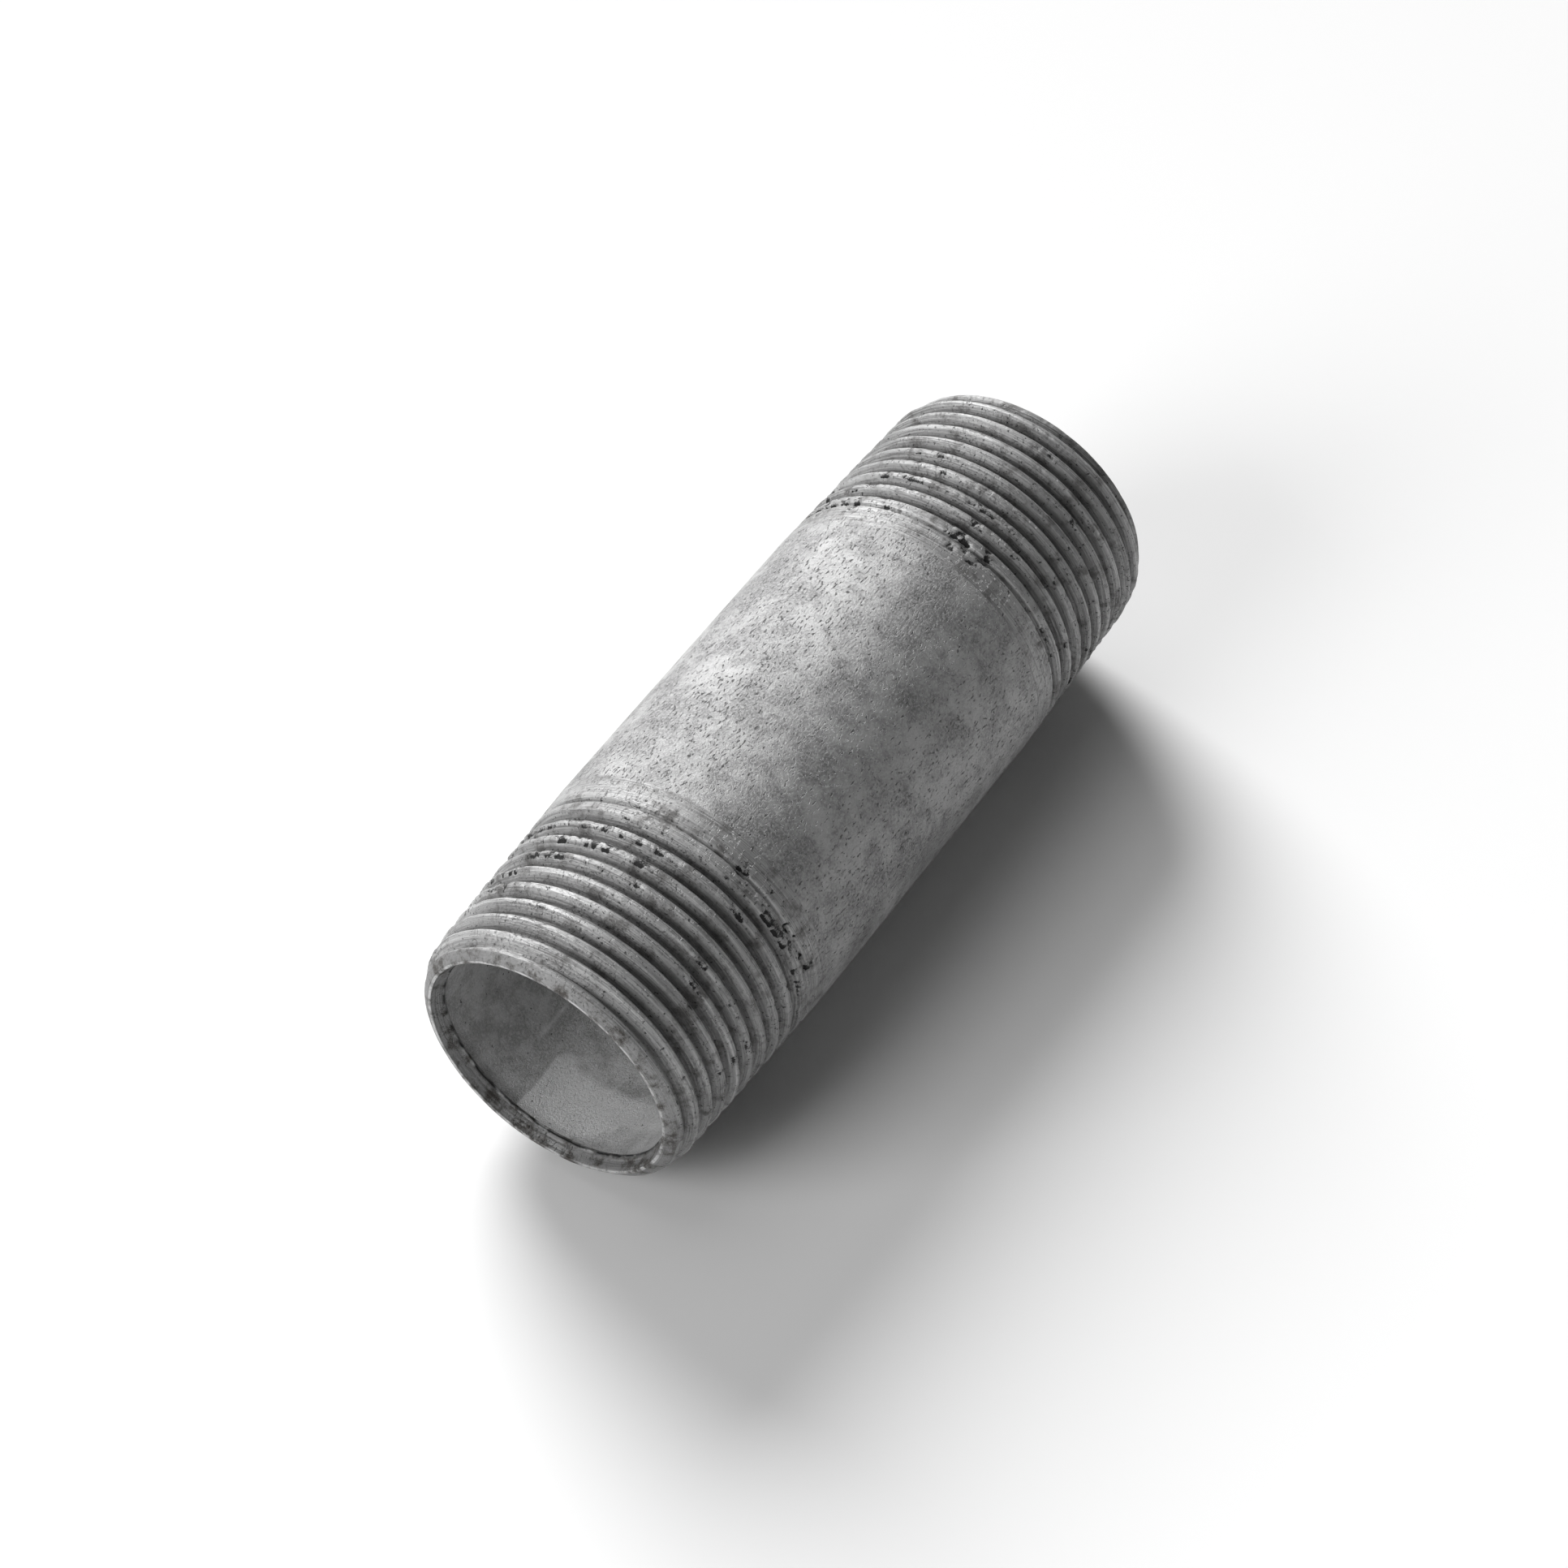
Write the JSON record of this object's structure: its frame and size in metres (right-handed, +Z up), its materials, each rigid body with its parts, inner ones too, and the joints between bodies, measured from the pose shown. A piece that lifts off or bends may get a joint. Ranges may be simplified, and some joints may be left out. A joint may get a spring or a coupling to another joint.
{
  "type": "threaded pipe nipple",
  "caption": "Short galvanised steel pipe with a male taper thread at each end, a plain barrel between them and an open bore, for joining two female fittings.",
  "frame": {"origin": "on the pipe's axis at mid-length, which is also the centre of its bounding box", "axes": "+X along the pipe from one end to the other, +Z up, with the nipple lying on its side"},
  "size_m": [0.0902, 0.0334, 0.0334],
  "materials": {
    "galvanised_steel": "satin"
  },
  "bodies": {
    "root": {"pipe_nipple": "galvanised_steel"}
  },
  "joints": []
}
